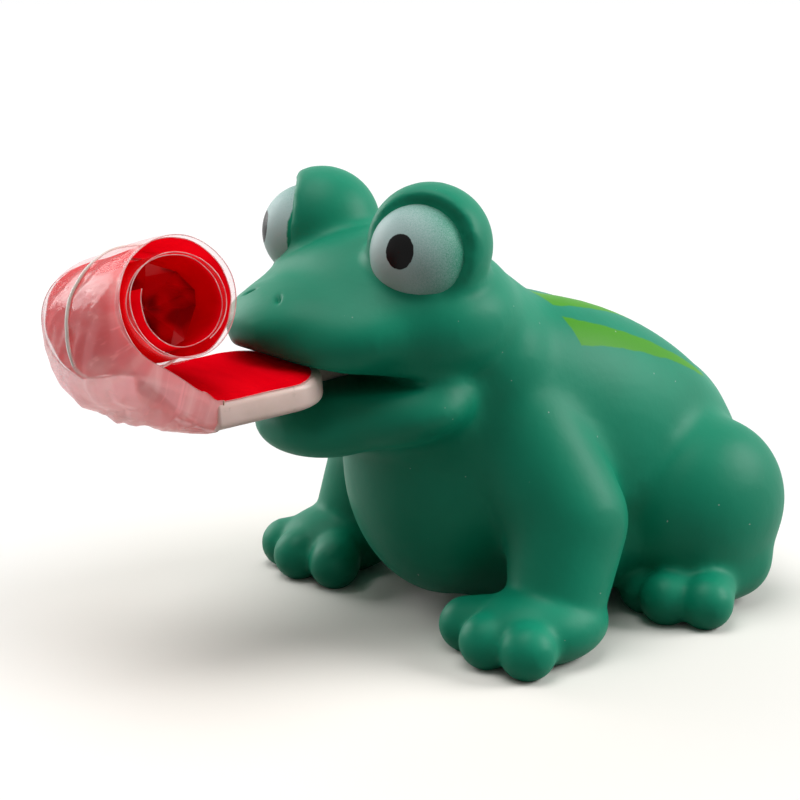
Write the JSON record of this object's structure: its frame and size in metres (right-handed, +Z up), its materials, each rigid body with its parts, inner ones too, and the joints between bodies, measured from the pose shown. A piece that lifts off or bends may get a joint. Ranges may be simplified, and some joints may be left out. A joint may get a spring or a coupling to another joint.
{
  "type": "long tongue frog toy",
  "caption": "Soft hollow squeeze frog on its haunches, with an oval mouthpiece in its mouth and a rolled film tongue that blows out straight and curls up again.",
  "frame": {"origin": "middle of the toy's box, on the surface that it stands on", "axes": "+Z up, -Y the way the frog looks and the tongue blows out, +X the frog's left side"},
  "size_m": [0.0616, 0.0986, 0.0586],
  "materials": {
    "green_vinyl": "soft matt vinyl with painted eyes and stripes",
    "white_plastic": "smooth white",
    "red_film": "glossy red film under clear film",
    "curl_steel": "bare spring wire"
  },
  "bodies": {
    "frog": {"body_shell": "green_vinyl", "mouthpiece": "white_plastic", "tongue_sleeve_base": "red_film"},
    "tongue_01": {"tongue_sleeve_01": "red_film", "curl_wire_01": "curl_steel"},
    "tongue_02": {"tongue_sleeve_02": "red_film", "curl_wire_02": "curl_steel"},
    "tongue_03": {"tongue_sleeve_03": "red_film", "curl_wire_03": "curl_steel"},
    "tongue_04": {"tongue_sleeve_04": "red_film", "curl_wire_04": "curl_steel"},
    "tongue_05": {"tongue_sleeve_05": "red_film", "curl_wire_05": "curl_steel"},
    "tongue_06": {"tongue_sleeve_06": "red_film", "curl_wire_06": "curl_steel"},
    "tongue_07": {"tongue_sleeve_07": "red_film", "curl_wire_07": "curl_steel"},
    "tongue_08": {"tongue_sleeve_08": "red_film", "curl_wire_08": "curl_steel"},
    "tongue_09": {"tongue_sleeve_09": "red_film", "curl_wire_09": "curl_steel"},
    "tongue_10": {"tongue_sleeve_10": "red_film", "curl_wire_10": "curl_steel"},
    "tongue_11": {"tongue_sleeve_11": "red_film", "curl_wire_11": "curl_steel"},
    "tongue_12": {"tongue_sleeve_12": "red_film", "curl_wire_12": "curl_steel"}
  },
  "joints": [
    {"name": "tongue_unroll", "type": "hinge", "parent": "frog", "child": "tongue_01", "pos_m": [0.00266, -0.04095, 0.03687], "axis": [0.9659, -0.0506, 0.2538], "range_deg": [0, 57], "stiffness_Nm_per_rad": 0.005},
    {"name": "tongue_unroll_02", "type": "hinge", "parent": "tongue_01", "child": "tongue_02", "pos_m": [0.00124, -0.04807, 0.04086], "axis": [0.9659, -0.0506, 0.2538], "range_deg": [0, 57], "stiffness_Nm_per_rad": 0.005},
    {"name": "tongue_unroll_03", "type": "hinge", "parent": "tongue_02", "child": "tongue_03", "pos_m": [-0.0008, -0.04798, 0.04865], "axis": [0.9659, -0.0506, 0.2538], "range_deg": [0, 57], "stiffness_Nm_per_rad": 0.005},
    {"name": "tongue_unroll_04", "type": "hinge", "parent": "tongue_03", "child": "tongue_04", "pos_m": [-0.00144, -0.04118, 0.05244], "axis": [0.9659, -0.0506, 0.2538], "range_deg": [0, 57], "stiffness_Nm_per_rad": 0.005},
    {"name": "tongue_unroll_05", "type": "hinge", "parent": "tongue_04", "child": "tongue_05", "pos_m": [-0.00014, -0.03466, 0.04879], "axis": [0.9659, -0.0506, 0.2538], "range_deg": [0, 57], "stiffness_Nm_per_rad": 0.005},
    {"name": "tongue_unroll_06", "type": "hinge", "parent": "tongue_05", "child": "tongue_06", "pos_m": [0.00173, -0.03474, 0.04168], "axis": [0.9659, -0.0506, 0.2538], "range_deg": [0, 57], "stiffness_Nm_per_rad": 0.005},
    {"name": "tongue_unroll_07", "type": "hinge", "parent": "tongue_06", "child": "tongue_07", "pos_m": [0.00231, -0.04093, 0.03823], "axis": [0.9659, -0.0506, 0.2538], "range_deg": [0, 57], "stiffness_Nm_per_rad": 0.005},
    {"name": "tongue_unroll_08", "type": "hinge", "parent": "tongue_07", "child": "tongue_08", "pos_m": [0.00113, -0.04685, 0.04154], "axis": [0.9659, -0.0506, 0.2538], "range_deg": [0, 57], "stiffness_Nm_per_rad": 0.005},
    {"name": "tongue_unroll_09", "type": "hinge", "parent": "tongue_08", "child": "tongue_09", "pos_m": [-0.00056, -0.04678, 0.04797], "axis": [0.9659, -0.0506, 0.2538], "range_deg": [0, 57], "stiffness_Nm_per_rad": 0.005},
    {"name": "tongue_unroll_10", "type": "hinge", "parent": "tongue_09", "child": "tongue_10", "pos_m": [-0.00108, -0.0412, 0.05109], "axis": [0.9659, -0.0506, 0.2538], "range_deg": [0, 57], "stiffness_Nm_per_rad": 0.005},
    {"name": "tongue_unroll_11", "type": "hinge", "parent": "tongue_10", "child": "tongue_11", "pos_m": [-0.00002, -0.03588, 0.04812], "axis": [0.9659, -0.0506, 0.2538], "range_deg": [0, 57], "stiffness_Nm_per_rad": 0.005},
    {"name": "tongue_unroll_12", "type": "hinge", "parent": "tongue_11", "child": "tongue_12", "pos_m": [0.00148, -0.03594, 0.04236], "axis": [0.9659, -0.0506, 0.2538], "range_deg": [0, 57], "stiffness_Nm_per_rad": 0.005}
  ],
  "couplings": [
    {"joint": "tongue_unroll_02", "follows": "tongue_unroll", "ratio": 1},
    {"joint": "tongue_unroll_03", "follows": "tongue_unroll", "ratio": 1},
    {"joint": "tongue_unroll_04", "follows": "tongue_unroll", "ratio": 1},
    {"joint": "tongue_unroll_05", "follows": "tongue_unroll", "ratio": 1},
    {"joint": "tongue_unroll_06", "follows": "tongue_unroll", "ratio": 1},
    {"joint": "tongue_unroll_07", "follows": "tongue_unroll", "ratio": 1},
    {"joint": "tongue_unroll_08", "follows": "tongue_unroll", "ratio": 1},
    {"joint": "tongue_unroll_09", "follows": "tongue_unroll", "ratio": 1},
    {"joint": "tongue_unroll_10", "follows": "tongue_unroll", "ratio": 1},
    {"joint": "tongue_unroll_11", "follows": "tongue_unroll", "ratio": 1},
    {"joint": "tongue_unroll_12", "follows": "tongue_unroll", "ratio": 1}
  ]
}
